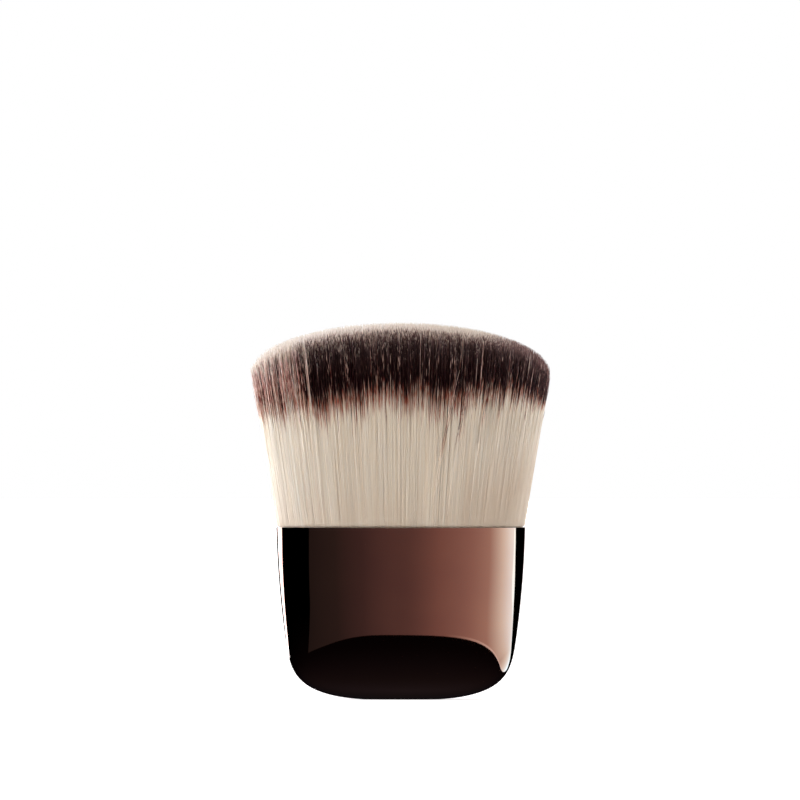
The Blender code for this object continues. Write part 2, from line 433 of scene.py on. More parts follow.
# %% Node tree helpers
def new_tree(name, sizes):
    """A Geometry Nodes tree with named inputs, whose kind follows from their default value."""
    kinds = {float: "Float", int: "Int", Vector: "Vector", type(None): "Material"}
    tree = bpy.data.node_groups.new(name, "GeometryNodeTree")
    tree.interface.new_socket(name="Geometry", in_out="OUTPUT", socket_type="NodeSocketGeometry")
    for label, default in sizes.items():
        kind = "NodeSocket" + kinds[type(default)]
        socket = tree.interface.new_socket(name=label, in_out="INPUT", socket_type=kind)
        if default is not None:
            socket.default_value = default
    return tree, add_node(tree, "NodeGroupInput").outputs


def grow(name, tree, values):
    """Runs a tree with its inputs set, and returns the result as an object with a plain mesh."""
    piece = bpy.data.objects.new(name, bpy.data.meshes.new(name))
    modifier = piece.modifiers.new("grow", "NODES")
    modifier.node_group = tree
    for item in tree.interface.items_tree:
        if item.in_out == "INPUT" and item.name in values:
            modifier[item.identifier] = values[item.name]
    bpy.context.scene.collection.objects.link(piece)
    depsgraph = bpy.context.evaluated_depsgraph_get()
    mesh = bpy.data.meshes.new_from_object(piece.evaluated_get(depsgraph))
    piece.modifiers.clear()
    piece.data = mesh
    mesh.name = name
    print(name, "has", sum(len(face.vertices) - 2 for face in mesh.polygons), "triangles")
    return piece


# %% [markdown]
# ## The handle
#
# Seen from above, the handle is a rounded oval, squarer than an ellipse. Its sides bow in a
# little on the way down and then turn under in a tight corner, while its broad faces roll under
# slowly. Both turns are the same formula with other powers, so a loop writes both. The tree bends
# a plain cylinder to that form, and Solidify and Bevel give it its wall and a soft lip.

# %% Handle sizes
shell_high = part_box("handle_shell")[1]
handle_height = shell_high.z
half_mouth_width = shell_high.x
half_mouth_depth = shell_high.y
side_lean = 0.8 * mm
side_bow = 3.1 * mm
face_bow = 2.0 * mm
corner_height = 14.0 * mm
belly_height = 20.0 * mm
base_cut = 0.15 * mm
shell_wall = 0.6 * mm
lip_round = 0.15 * mm
section_power = 2.5
print("handle:", [round(2 * half_mouth_width / mm, 1), round(2 * half_mouth_depth / mm, 1),
                  round(handle_height / mm, 1)], "mm")

# %% Handle tree
tree, sizes = new_tree("handle_form", {
    "Height": handle_height, "Half Width": half_mouth_width, "Half Depth": half_mouth_depth,
    "Side Lean": side_lean, "Side Bow": side_bow, "Face Bow": face_bow,
    "Corner Height": corner_height, "Belly Height": belly_height, "Base Cut": base_cut,
    "Section Power": section_power, "Sides": 224, "Rings": 110, "Finish": None})

drum = add_node(tree, "GeometryNodeMeshCylinder", {
    "Vertices": sizes["Sides"], "Side Segments": sizes["Rings"], "Radius": 1.0, "Depth": 1.0})
open_drum = add_node(tree, "GeometryNodeDeleteGeometry", (drum, drum.outputs["Top"]), domain="FACE",
                     mode="ONLY_FACE")
spot = add_node(tree, SPLIT, (add_node(tree, "GeometryNodeInputPosition"),))

# Rings lie closer together near the base, where the form turns fastest
ring = add_node(tree, MATH, (spot.outputs["Z"], 0.5), operation="ADD")
ring = add_node(tree, MATH, (ring, 2.0), operation="POWER")
height = add_node(tree, MATH, (ring, sizes["Height"]), operation="MULTIPLY")
down = add_node(tree, MATH, (1.0, ring), operation="SUBTRACT")
down_squared = add_node(tree, MATH, (down, down), operation="MULTIPLY")
cut_height = add_node(tree, MATH, (height, sizes["Base Cut"]), operation="ADD")

# One oval point: the sign of x or y, times its size to the power 2 / section power
oval_power = add_node(tree, MATH, (2.0, sizes["Section Power"]), operation="DIVIDE")
reaches = []
for axis, half, lean, bow, start, fall_power, run_power in (
        ("X", "Half Width", sizes["Side Lean"], "Side Bow", "Corner Height", 4.5, 3.0),
        ("Y", "Half Depth", 0.0, "Face Bow", "Belly Height", 2.5, 2.2)):
    leaned = add_node(tree, MATH, (down, lean), operation="MULTIPLY")
    bowed = add_node(tree, MATH, (down_squared, sizes[bow], leaned), operation="MULTIPLY_ADD")
    straight = add_node(tree, MATH, (sizes[half], bowed), operation="SUBTRACT")
    up = add_node(tree, MATH, (cut_height, sizes[start]), operation="DIVIDE")
    below = add_node(tree, MATH, (1.0, up), operation="SUBTRACT", use_clamp=True)
    fall = add_node(tree, MATH, (below, fall_power), operation="POWER")
    left = add_node(tree, MATH, (1.0, fall), operation="SUBTRACT")
    rounding = add_node(tree, MATH, (left, 1.0 / run_power), operation="POWER")
    reach = add_node(tree, MATH, (straight, rounding), operation="MULTIPLY")
    size = add_node(tree, MATH, (spot.outputs[axis],), operation="ABSOLUTE")
    oval = add_node(tree, MATH, (size, oval_power), operation="POWER")
    side = add_node(tree, MATH, (spot.outputs[axis],), operation="SIGN")
    share = add_node(tree, MATH, (oval, side), operation="MULTIPLY")
    reaches.append(add_node(tree, MATH, (reach, share), operation="MULTIPLY"))

bent = add_node(tree, COMBINE, (*reaches, height))
shaped = add_node(tree, "GeometryNodeSetPosition", {"Geometry": open_drum, "Position": bent})
smooth = add_node(tree, "GeometryNodeSetShadeSmooth", {"Geometry": shaped})
real = add_node(tree, "GeometryNodeRealizeInstances", (smooth,))
dressed = add_node(tree, "GeometryNodeSetMaterial", {"Geometry": real, "Material": sizes["Finish"]})
add_node(tree, "NodeGroupOutput", (dressed,))
print("handle form:", len(tree.nodes), "nodes")

# %% Polished shell
def round_edges(piece, width, segments, least_turn):
    """Rounds the edges that turn by more than an angle, in degrees."""
    bevel = piece.modifiers.new("round_edges", "BEVEL")
    bevel.width = width
    bevel.segments = segments
    bevel.limit_method = "ANGLE"
    bevel.angle_limit = math.radians(least_turn)
    bevel.harden_normals = True


polished_shell = grow("polished_shell", tree, {"Finish": polished_bronze})
wall = polished_shell.modifiers.new("wall", "SOLIDIFY")
wall.thickness = shell_wall
wall.offset = -1.0
round_edges(polished_shell, lip_round, 3, 60)

# %% [markdown]
# ## The filaments' colour
#
# The filaments are drawn from cream nylon, cut to length, and dipped in dye before the tuft is
# bound. The dye creeps further up some filaments than others, so the dark band has a ragged edge:
# nearly black in the middle, mauve where it took badly and where sheen is painted on, and a reddish
# brown where it ends. The very tips are ground to a point, which takes the dye off again.
#
# The colour therefore depends on two things: how far a spot is from its filament's tip, and which
# filament it is. Each filament has its own narrow column of a UV map. Across the map runs the kind
# of filament, from lightly dyed to fully dyed, and up the map runs the distance from the tip.

# %% Where the dye lies
columns = 128
paint_length = 50 * mm
map_margin = 0.01

filament, tree, shader = new_finish(
    "dyed_nylon_filament", Roughness=0.42, IOR=1.53, Specular_IOR_Level=0.1,
    Specular_Tint=colour("#e8d0c8"), Subsurface_Weight=0.6, Subsurface_Radius=(1.0, 0.9, 0.8),
    Subsurface_Scale=0.5 * mm)
spot = add_node(tree, SPLIT, (add_node(tree, "ShaderNodeUVMap", uv_map="OFBake"),))
column = add_node(tree, MATH, (spot.outputs["X"], float(columns)), operation="MULTIPLY")
column = add_node(tree, MATH, (column,), operation="FLOOR")
dye = add_node(tree, MATH, (column, float(columns)), operation="DIVIDE")
chance = add_node(tree, CHANCE, {"W": column}, noise_dimensions="1D")
chances = add_node(tree, "ShaderNodeSeparateColor", (chance.outputs["Color"],)).outputs
tip_mm = add_node(tree, RANGE, (spot.outputs["Y"], map_margin, 1 - map_margin, 0.0, paint_length / mm))

# Where the dye begins below the bare tip, and where it ends, in millimetres
begin = add_node(tree, RANGE, (dye, 0.0, 0.3, 1.0, 0.0))
begin = add_node(tree, MATH, (chances["Red"], 0.35, begin), operation="MULTIPLY_ADD")
begin_full = add_node(tree, MATH, (begin, 0.5), operation="ADD")
end = add_node(tree, RANGE, (dye, 0.0, 1.0, 9.8, 11.8))
end = add_node(tree, MATH, (chances["Green"], 4.0, end), operation="MULTIPLY_ADD")
fade = add_node(tree, RANGE, (dye, 0.0, 0.25, -5.0, -1.0))
masks = []
for name, head_start, above, below in (("thin dye", 0.0, fade, 1.8), ("full dye", 0.1, -3.4, -1.3)):
    rise_from = add_node(tree, MATH, (begin, head_start), operation="ADD")
    rise_to = add_node(tree, MATH, (begin_full, head_start), operation="ADD")
    rise = add_node(tree, RANGE, (tip_mm, rise_from, rise_to), interpolation_type="SMOOTHSTEP")
    fall_from = add_node(tree, MATH, (end, above), operation="ADD")
    fall_to = add_node(tree, MATH, (end, below), operation="ADD")
    fall = add_node(tree, RANGE, (tip_mm, fall_from, fall_to, 1.0, 0.0),
                    interpolation_type="SMOOTHSTEP")
    masks.append(add_node(tree, MATH, (rise, fall), operation="MULTIPLY", label=name))
print("masks:", [mask.label for mask in masks])

# %% [markdown]
# The dye takes unevenly along a filament, and hardly blackens the lightly dyed ones. The colour is
# built up in layers: cream nylon with painted shade, darker towards the root and at the ground tip,
# then stained, then blackened.

# %% Filament colour
# The blotches are partly uneven dye and partly painted sheen, which lightens dark filaments to mauve grey
blotch_and_sheen_place = add_node(tree, COMBINE, (column, tip_mm))
blotch_and_sheen_place = add_node(tree, VECTOR, (blotch_and_sheen_place, (7.3, 0.55, 1.0)), operation="MULTIPLY")
blotches_and_sheen = add_node(tree, NOISE, {"Vector": blotch_and_sheen_place, "Scale": 1.0, "Detail": 1.0})
even = add_node(tree, RANGE, (blotches_and_sheen, 0.35, 0.6, 0.6, 1.0))
patchy = add_node(tree, MATH, (blotches_and_sheen, 0.8, dye), operation="MULTIPLY_ADD")
strength = add_node(tree, RANGE, (patchy, 0.5, 0.78, 0.0, 1.0), interpolation_type="SMOOTHSTEP")
taken = add_node(tree, RANGE, (dye, 0.0, 0.15, 0.5, 1.0))
taken = add_node(tree, MATH, (taken, even), operation="MULTIPLY")
thin = add_node(tree, MATH, (masks[0], taken), operation="MULTIPLY")
full = add_node(tree, MATH, (masks[1], strength), operation="MULTIPLY")
black = add_node(tree, RANGE, (blotches_and_sheen, 0.3, 0.5, 0.95, 1.0))
full = add_node(tree, MATH, (full, black), operation="MULTIPLY")
cream = add_node(tree, RAMP, (chances["Blue"],))
set_stops(cream, [(0.0, "#f8ead4"), (0.4, "#f9efdb"), (0.7, "#f6e6cb"), (1.0, "#f8e8d2")])
# Painted shade: the cream is darkened towards the root, where the packed bundle by the mouth is shaded
root_shade = add_node(tree, RANGE, (tip_mm, 26.0, 42.0, 0.0, 1.0))
# Painted shade: the bare ground tips are darkened so that the lamps do not light them to white
tip_shade = add_node(tree, RANGE, (tip_mm, 0.0, 3.5, 1.0, 0.0))
run_share = add_node(tree, MATH, (tip_mm, end), operation="DIVIDE")
stain = add_node(tree, RAMP, (run_share,))
set_stops(stain, [(0.0, "#cc9e98"), (0.4, "#b4625a"), (0.75, "#883224"), (1.0, "#a05640")])
dark = add_node(tree, RAMP, (run_share,))
set_stops(dark, [(0.0, "#2c2021"), (0.4, "#120305")])

dyed = cream
for amount, layer in ((root_shade, colour("#e6d2b9")), (tip_shade, colour("#cfbea8")),
                      (thin, stain), (full, dark)):
    dyed = add_node(tree, "ShaderNodeMix", {0: amount, 6: dyed, 7: layer}, data_type="RGBA").outputs[2]
tree.links.new(dyed, shader.inputs["Base Color"])
print("filament finish:", len(tree.nodes), "nodes")

# %% [markdown]
# ## The tuft
#
# A real tuft is a bundle: the roots are bound tight and glued into a cup inside the handle, and
# the free ends fan out and are cupped into a dome. The tree below copies that. It scatters points
# over a slice of the bundle's root, stands a thin three-sided tube on each, and then bends every
# tube to its place.
#
# - Straight lines lead from the mouth of the handle to the widest part of the fan.
# - Below the mouth the bundle is squeezed, so it swells just above the lip.
# - The dome's height at the tip decides how long a filament is.
# - Near the tip, filaments sway together, wave a little and stray by themselves, and a few short
#   ones lean right over.
# - Neighbours stick together in small clumps, which share their lean, their cut and their dye.

# %% Tuft sizes
mouth_height = handle_height
root_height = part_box("ferrule_cup")[0].z + 5.0 * mm
brush_height = 75.5 * mm
shoulder_height = 65.5 * mm
fan_half = Vector((29.9, 12.0, 1.0)) * mm
mouth_half = Vector((24.65, 10.35, 1.0)) * mm
squeeze = Vector((0.5, 0.6, 0.0)) * mm
front_drop = 1.0 * mm
dome_rise = brush_height - shoulder_height
front_share = math.sqrt(1 - (1 - front_drop / dome_rise) ** 2)
lean_out = (fan_half - mouth_half) / (shoulder_height - mouth_height)
root_half = mouth_half - squeeze - lean_out * (mouth_height - root_height)
print("root of the tuft:", [round(2 * value / mm, 1) for value in root_half[:2]], "mm")

# %% Tuft tree: a slice of the root
strand_radius = 0.055 * mm
outer_per_mm2 = 300.0
inner_per_mm2 = 60.0
tree, sizes = new_tree("filaments", {
    "Row Front": 0.0, "Row Back": 0.0, "Root Half": root_half, "Mouth Half": mouth_half,
    "Fan Half": fan_half, "Lean Out": lean_out, "Squeeze": squeeze, "Root Height": root_height,
    "Mouth Height": mouth_height, "Shoulder Height": shoulder_height, "Dome Rise": dome_rise,
    "Front Share": front_share, "Radius": strand_radius,
    "Outer Per Area": outer_per_mm2 / mm ** 2, "Outer Gap": 0.055 * mm,
    "Inner Per Area": inner_per_mm2 / mm ** 2, "Inner Gap": 0.09 * mm,
    "Length Scatter": 3.5 * mm, "Tip Scatter": 0.45 * mm, "Rim Scatter": 6.5 * mm,
    "Wave": 0.24 * mm, "Wave Length": 3 * mm, "Bow": 0.26 * mm, "Sway": 0.42 * mm, "Sway Width": 6 * mm,
    "Clump Width": 0.4 * mm, "Clump Lean": 0.4 * mm, "Stray": 0.5 * mm, "Stray Lean": 9 * mm,
    "Stray Cut": 7 * mm, "Stray Front": -2.0 * mm, "Seed": 0, "Finish": None})

root_size = add_node(tree, SPLIT, (sizes["Root Half"],)).outputs
width = add_node(tree, MATH, (root_size["X"], 2.0), operation="MULTIPLY")
depth = add_node(tree, MATH, (sizes["Row Back"], sizes["Row Front"]), operation="SUBTRACT")
middle = add_node(tree, MATH, (sizes["Row Back"], sizes["Row Front"]), operation="ADD")
middle = add_node(tree, MATH, (middle, 0.5), operation="MULTIPLY")
sheet = add_node(tree, "GeometryNodeMeshGrid", {
    "Size X": width, "Size Y": depth, "Vertices X": 2, "Vertices Y": 2})
shift = add_node(tree, COMBINE, {"Y": middle})
sheet = add_node(tree, "GeometryNodeTransform", {"Geometry": sheet, "Translation": shift})
position = add_node(tree, "GeometryNodeInputPosition")
print("slice of the root:", len(tree.nodes), "nodes")

# %% [markdown]
# Only the outer filaments show from root to tip, so they stand closer and have more segments than
# the inner ones. An oval measure tells them apart: it is 1 on the rim of the bundle.

# %% Tuft tree: roots and tubes
rim_measure = 0.86
outer_rings = 9
inner_rings = 4


def oval_measure(tree, place, half):
    """1 on the rim of the oval bundle and less inside it."""
    share = add_node(tree, VECTOR, (place, half), operation="DIVIDE")
    size = add_node(tree, VECTOR, (share,), operation="ABSOLUTE")
    parts = add_node(tree, SPLIT, (size,)).outputs
    across = add_node(tree, MATH, (parts["X"], section_power), operation="POWER")
    along = add_node(tree, MATH, (parts["Y"], section_power), operation="POWER")
    return add_node(tree, MATH, (across, along), operation="ADD")


measure = oval_measure(tree, position, sizes["Root Half"])
sown = add_node(tree, "GeometryNodeJoinGeometry")
for per_area, gap, least, most in (("Outer Per Area", "Outer Gap", rim_measure, 1.0),
                                   ("Inner Per Area", "Inner Gap", -1.0, rim_measure)):
    roots = add_node(tree, "GeometryNodeDistributePointsOnFaces", {
        "Mesh": sheet, "Distance Min": sizes[gap], "Density Max": sizes[per_area],
        "Seed": sizes["Seed"]}, distribute_method="POISSON")
    past = add_node(tree, MATH, (measure, most), operation="GREATER_THAN")
    short = add_node(tree, MATH, (measure, least), operation="LESS_THAN")
    unwanted = add_node(tree, MATH, (past, short), operation="MAXIMUM")
    roots = add_node(tree, "GeometryNodeDeleteGeometry", (roots, unwanted), domain="POINT")
    tree.links.new(roots.outputs[0], sown.inputs[0])
kept = add_node(tree, "GeometryNodeCaptureAttribute")
kept.capture_items.new("VECTOR", "Root")
tree.links.new(sown.outputs[0], kept.inputs[0])
tree.links.new(position.outputs[0], kept.inputs["Root"])
root = kept.outputs["Root"]

outer = add_node(tree, MATH, (measure, rim_measure), operation="GREATER_THAN")
inner = add_node(tree, MATH, (1.0, outer), operation="SUBTRACT")
stands = add_node(tree, "GeometryNodeJoinGeometry")
for chosen, segments in ((outer, outer_rings), (inner, inner_rings)):
    tube = add_node(tree, "GeometryNodeMeshCylinder", {
        "Vertices": 3, "Side Segments": segments, "Radius": 1.0, "Depth": 1.0})
    stood = add_node(tree, "GeometryNodeInstanceOnPoints", {
        "Points": kept, "Selection": chosen, "Instance": tube})
    tree.links.new(stood.outputs[0], stands.inputs[0])
real_tubes = add_node(tree, "GeometryNodeRealizeInstances", (stands,))
print("and the tubes:", len(tree.nodes), "nodes")

# %% [markdown]
# A tip lies on the dome above its own place in the fan. That place depends on how high the tip is,
# so the two are worked out in turn, three times over.

# %% Tuft tree: the dome
dome_steps = 3


def reach_at(height):
    """How far a height is above the mouth, and half the width and depth of the bundle there."""
    lift = add_node(tree, MATH, (height, sizes["Mouth Height"]), operation="SUBTRACT")
    spread = add_node(tree, VECTOR, {0: sizes["Lean Out"], "Scale": lift}, operation="SCALE")
    return lift, add_node(tree, VECTOR, (sizes["Mouth Half"], spread), operation="ADD")


share = add_node(tree, VECTOR, (root, sizes["Root Half"]), operation="DIVIDE")
share_parts = add_node(tree, SPLIT, (share,)).outputs
dome_flat = add_node(tree, COMBINE, (1.0, sizes["Front Share"]))
tip_height = sizes["Shoulder Height"]
for step in range(dome_steps):
    lift, reach = reach_at(tip_height)
    reach_share = add_node(tree, VECTOR, (reach, sizes["Fan Half"]), operation="DIVIDE")
    place = add_node(tree, VECTOR, (share, reach_share), operation="MULTIPLY")
    flat = add_node(tree, VECTOR, (place, dome_flat), operation="MULTIPLY")
    squared = add_node(tree, VECTOR, (flat, flat), operation="DOT_PRODUCT").outputs["Value"]
    inside = add_node(tree, MATH, (1.0, squared), operation="SUBTRACT", use_clamp=True)
    dome = add_node(tree, MATH, (inside,), operation="SQRT")
    tip_height = add_node(tree, MATH, (dome, sizes["Dome Rise"], sizes["Shoulder Height"]),
                          operation="MULTIPLY_ADD")
print("and the dome:", len(tree.nodes), "nodes")

# %% [markdown]
# No two filaments end alike. Three draws are made for each: most lose little of their length, and a
# few lose a lot. At the rim whole clumps are cut shorter, which gives the tuft its feathered edge.

# %% Tuft tree: uneven lengths
stray_share = 0.002

chance = add_node(tree, CHANCE, {"Vector": root}, noise_dimensions="3D")
chances = add_node(tree, SPLIT, (chance.outputs["Color"],)).outputs
second = add_node(tree, CHANCE, {"Vector": root, "W": 2.0}, noise_dimensions="4D")
third = add_node(tree, CHANCE, {"Vector": root, "W": 5.0}, noise_dimensions="4D")
shortening = add_node(tree, MATH, (chances["X"], 4.0), operation="POWER")
shortening = add_node(tree, MATH, (shortening, sizes["Length Scatter"]), operation="MULTIPLY")
shortening = add_node(tree, MATH, (second, sizes["Tip Scatter"], shortening), operation="MULTIPLY_ADD")

# A clump is a patch of the root about as wide as three filaments. Most of a noise lies between 0.3
# and 0.7, so a range stretches that part.
clump_scale = add_node(tree, MATH, (1.0, sizes["Clump Width"]), operation="DIVIDE")
clump = add_node(tree, NOISE, {"Vector": root, "Scale": clump_scale, "Detail": 0.0})
clumps = add_node(tree, SPLIT, (clump.outputs["Color"],)).outputs
root_measure = oval_measure(tree, root, sizes["Root Half"])
at_rim = add_node(tree, MATH, (root_measure, rim_measure), operation="GREATER_THAN")
rim_cut = add_node(tree, RANGE, (clumps["Y"], 0.3, 0.7, 0.0, 0.5))
rim_cut = add_node(tree, MATH, (chances["Z"], 0.5, rim_cut), operation="MULTIPLY_ADD")
rim_cut = add_node(tree, MATH, (rim_cut, 2.4), operation="POWER")
rim_cut = add_node(tree, MATH, (rim_cut, sizes["Rim Scatter"]), operation="MULTIPLY")
rim_cut = add_node(tree, MATH, (rim_cut, at_rim), operation="MULTIPLY")
stray = add_node(tree, MATH, (third, 1 - stray_share), operation="GREATER_THAN")
stray_cut = add_node(tree, MATH, (stray, sizes["Stray Cut"]), operation="MULTIPLY")
for cut in (shortening, rim_cut, stray_cut):
    tip_height = add_node(tree, MATH, (tip_height, cut), operation="SUBTRACT")
print("and the lengths:", len(tree.nodes), "nodes")

# %% [markdown]
# A tube starts as a plain upright one, a metre tall. Its rings are first spread along the
# filament: one at the root, a few close together at the lip, where the bundle swells, and the rest
# towards the tip. The curve below says how far up from the mouth each ring stands.

# %% Tuft tree: rings along a tube
local = add_node(tree, VECTOR, (position, root), operation="SUBTRACT")
local_parts = add_node(tree, SPLIT, (local,)).outputs
ring = add_node(tree, MATH, (local_parts["Z"], 0.5), operation="ADD", use_clamp=True)
below = add_node(tree, RANGE, (ring, 0.0, 1 / outer_rings))
above = add_node(tree, "ShaderNodeFloatCurve", {"Value": ring})
curve = above.mapping.curves[0]
rise_shares = (0.0, 0.012, 0.07, 0.36, 0.62, 0.76, 0.86, 0.94)
for number, rise_share in enumerate(rise_shares, 1):
    curve.points.new(number / outer_rings, rise_share)
for point in curve.points:
    point.handle_type = "VECTOR"
above.mapping.update()

stem = add_node(tree, MATH, (sizes["Mouth Height"], sizes["Root Height"]), operation="SUBTRACT")
free = add_node(tree, MATH, (tip_height, sizes["Mouth Height"]), operation="SUBTRACT")
height = add_node(tree, MATH, (below, stem, sizes["Root Height"]), operation="MULTIPLY_ADD")
height = add_node(tree, MATH, (above, free, height), operation="MULTIPLY_ADD")

lift, reach = reach_at(height)
held = add_node(tree, RANGE, (lift, 0.0, 0.4 * mm, 1.0, 0.0), interpolation_type="SMOOTHSTEP")
drawn_in = add_node(tree, VECTOR, {0: sizes["Squeeze"], "Scale": held}, operation="SCALE")
reach = add_node(tree, VECTOR, (reach, drawn_in), operation="SUBTRACT")
place = add_node(tree, VECTOR, (share, reach), operation="MULTIPLY")
print("and the rings:", len(tree.nodes), "nodes")

# %% [markdown]
# A filament can bend in three ways: all along, near its tip only, or in an arch between lip and tip.
# Sway is shared by many neighbours, a clump leans as one, and a few loose filaments stray further
# than the rest. A wave is a small kink every few millimetres, in another place on each.

# %% Tuft tree: bends
loose_share = 0.025

bend = add_node(tree, MATH, (above, 1.6), operation="POWER")
tip_bend = add_node(tree, MATH, (above, 3.5), operation="POWER")
arch = add_node(tree, MATH, (1.0, above), operation="SUBTRACT")
arch = add_node(tree, MATH, (arch, above), operation="MULTIPLY")

sway_scale = add_node(tree, MATH, (1.0, sizes["Sway Width"]), operation="DIVIDE")
sway = add_node(tree, NOISE, {"Vector": root, "Scale": sway_scale, "Detail": 1.0})
loose = add_node(tree, MATH, (second.outputs["Value"], 1 - loose_share), operation="GREATER_THAN")
looser = add_node(tree, MATH, (loose, 1.8, 1.0), operation="MULTIPLY_ADD")
own_size = add_node(tree, MATH, (sizes["Stray"], looser), operation="MULTIPLY")

wave_scale = add_node(tree, MATH, (1.0, sizes["Wave Length"]), operation="DIVIDE")
wave_shift = add_node(tree, VECTOR, (chance.outputs["Color"], (9.0, 9.0, 9.0)), operation="MULTIPLY")
wave_place = add_node(tree, COMBINE, {"Z": height})
wave_place = add_node(tree, VECTOR, (wave_place, wave_shift), operation="ADD")
wave = add_node(tree, NOISE, {"Vector": wave_place, "Scale": wave_scale, "Detail": 0.0})

# Each noise lies between 0 and 1, so half is taken off, and it pushes to either side
for noise, size, bending in ((sway, sizes["Sway"], bend), (chance, own_size, tip_bend),
                             (clump, sizes["Clump Lean"], tip_bend), (second, sizes["Bow"], arch),
                             (wave, sizes["Wave"], bend)):
    push = add_node(tree, VECTOR, (noise.outputs["Color"], (0.5, 0.5, 0.5)), operation="SUBTRACT")
    amount = add_node(tree, MATH, (size, bending), operation="MULTIPLY")
    push = add_node(tree, VECTOR, {0: push, "Scale": amount}, operation="SCALE")
    place = add_node(tree, VECTOR, (place, push), operation="ADD")

# The stray filaments lean to the middle and arch out at the front
lean_size = add_node(tree, MATH, (bend, stray), operation="MULTIPLY")
lean_size = add_node(tree, MATH, (lean_size, sizes["Stray Lean"]), operation="MULTIPLY")
inward = add_node(tree, MATH, (share_parts["X"], -1.2, 0.8), operation="MULTIPLY_ADD", use_clamp=True)
lean_side = add_node(tree, MATH, (lean_size, inward), operation="MULTIPLY")
lean_front = add_node(tree, MATH, (arch, stray), operation="MULTIPLY")
lean_front = add_node(tree, MATH, (lean_front, sizes["Stray Front"]), operation="MULTIPLY")
lean = add_node(tree, COMBINE, (lean_side, lean_front))

# The tube's own thickness comes last, and thins to a point at the tip
taper = add_node(tree, RANGE, (above, 0.93, 1.0, 1.0, 0.3))
radius = add_node(tree, MATH, (taper, sizes["Radius"]), operation="MULTIPLY")
skin = add_node(tree, VECTOR, {0: local, "Scale": radius}, operation="SCALE")
for push in (lean, skin):
    place = add_node(tree, VECTOR, (place, push), operation="ADD")
flat_place = add_node(tree, SPLIT, (place,)).outputs
bent = add_node(tree, COMBINE, (flat_place["X"], flat_place["Y"], height))
print("and the bends:", len(tree.nodes), "nodes")

# %% [markdown]
# The last two cells of the tree write the UV map. Across it runs the kind of filament, which changes
# slowly over the tuft and quickly from clump to clump. It is paler at the left, partly where the dye
# took less and partly as painted sheen of the left lamp, and in one thin lock there, a painted
# highlight, and one filament in fifteen took hardly any dye.

# %% Tuft tree: the kind of filament
undyed_share = 0.065
highlight_lock_place = -0.625

kinds = add_node(tree, NOISE, {"Vector": root, "Scale": 1 / (5 * mm), "Detail": 1.0})
# Paler at the left: partly thinner dye, partly painted sheen of the left lamp on the dark filaments
pale_dye_and_sheen = add_node(tree, RANGE, (share_parts["X"], -0.76, -0.60, 0.52, 0.0),
                interpolation_type="SMOOTHSTEP")
# A thin paler lock paints a bright streak of highlight in the dark band
from_highlight_lock = add_node(tree, MATH, (share_parts["X"], highlight_lock_place), operation="SUBTRACT")
from_highlight_lock = add_node(tree, MATH, (from_highlight_lock,), operation="ABSOLUTE")
lock_highlight = add_node(tree, RANGE, (from_highlight_lock, 0.003, 0.009, 0.6, 0.0))
undyed = add_node(tree, MATH, (third, undyed_share), operation="LESS_THAN")

# The kind is the sum of a clump's part, the filament's own part and a slow part, less what is pale
kind = add_node(tree, RANGE, (clumps["X"], 0.3, 0.7, 0.0, 0.4))
kind = add_node(tree, MATH, (chances["Y"], 0.4, kind), operation="MULTIPLY_ADD")
kind = add_node(tree, MATH, (kinds, 0.6, kind), operation="MULTIPLY_ADD")
for paler in (pale_dye_and_sheen, lock_highlight):
    kind = add_node(tree, MATH, (kind, paler), operation="SUBTRACT")
kind = add_node(tree, MATH, (undyed, -0.40, kind), operation="MULTIPLY_ADD")
palest = add_node(tree, RANGE, (clumps["Z"], 0.35, 0.65, 0.0, 0.16))
kind = add_node(tree, MATH, (kind, palest), operation="MAXIMUM")
most = add_node(tree, MATH, (stray, -0.8, 0.9999), operation="MULTIPLY_ADD")
kind = add_node(tree, MATH, (kind, most), operation="MINIMUM")
column = add_node(tree, MATH, (kind, float(columns)), operation="MULTIPLY")
column = add_node(tree, MATH, (column,), operation="FLOOR")
around = add_node(tree, MATH, (local_parts["Y"], local_parts["X"]), operation="ARCTAN2")
around = add_node(tree, RANGE, (around, -math.pi, math.pi, 0.2, 0.8))
map_x = add_node(tree, MATH, (column, around), operation="ADD")
map_x = add_node(tree, MATH, (map_x, float(columns)), operation="DIVIDE")
print("and the kinds:", len(tree.nodes), "nodes")

# %% [markdown]
# Up the map runs the distance from the tip. The finish has 12 mm of dye. The dip was nearly level, so
# the dyed length grows with the height of the tip, and the distance is stretched or shrunk to fit.
# Where the dye ends changes from left to right, and down one filament in five it ran further.

# %% Tuft tree: the distance from the tip
dyed_in_finish = 12.0 * mm
dyed_at_rim = 7.2 * mm

from_tip = add_node(tree, MATH, (tip_height, height), operation="SUBTRACT")
above_shoulder = add_node(tree, MATH, (tip_height, sizes["Shoulder Height"]), operation="SUBTRACT")
dyed = add_node(tree, MATH, (above_shoulder, 0.77, dyed_at_rim), operation="MULTIPLY_ADD")
stretch = add_node(tree, MATH, (dyed_in_finish, dyed), operation="DIVIDE")
shrink = add_node(tree, MATH, (kinds, -0.45, 1.225), operation="MULTIPLY_ADD")
from_dip = add_node(tree, MATH, (share_parts["X"], -0.30), operation="ADD")
from_dip = add_node(tree, MATH, (from_dip,), operation="ABSOLUTE")
for place, start, stop, first, last in (
        (share_parts["X"], -0.80, 0.30, -0.10, 0.04), (share_parts["X"], 0.42, 0.56, 0.0, 0.13),
        (from_dip, 0.12, 0.20, -0.11, 0.0), (share_parts["X"], -0.80, -0.55, -0.07, 0.0),
        (second.outputs["Value"], 0.8, 1.0, 0.0, -0.22)):
    change = add_node(tree, RANGE, (place, start, stop, first, last))
    shrink = add_node(tree, MATH, (shrink, change), operation="ADD")
shrink = add_node(tree, MATH, (stray, -0.5, shrink), operation="MULTIPLY_ADD")
stretch = add_node(tree, MATH, (stretch, shrink), operation="MULTIPLY")
from_tip = add_node(tree, MATH, (from_tip, stretch), operation="MULTIPLY")

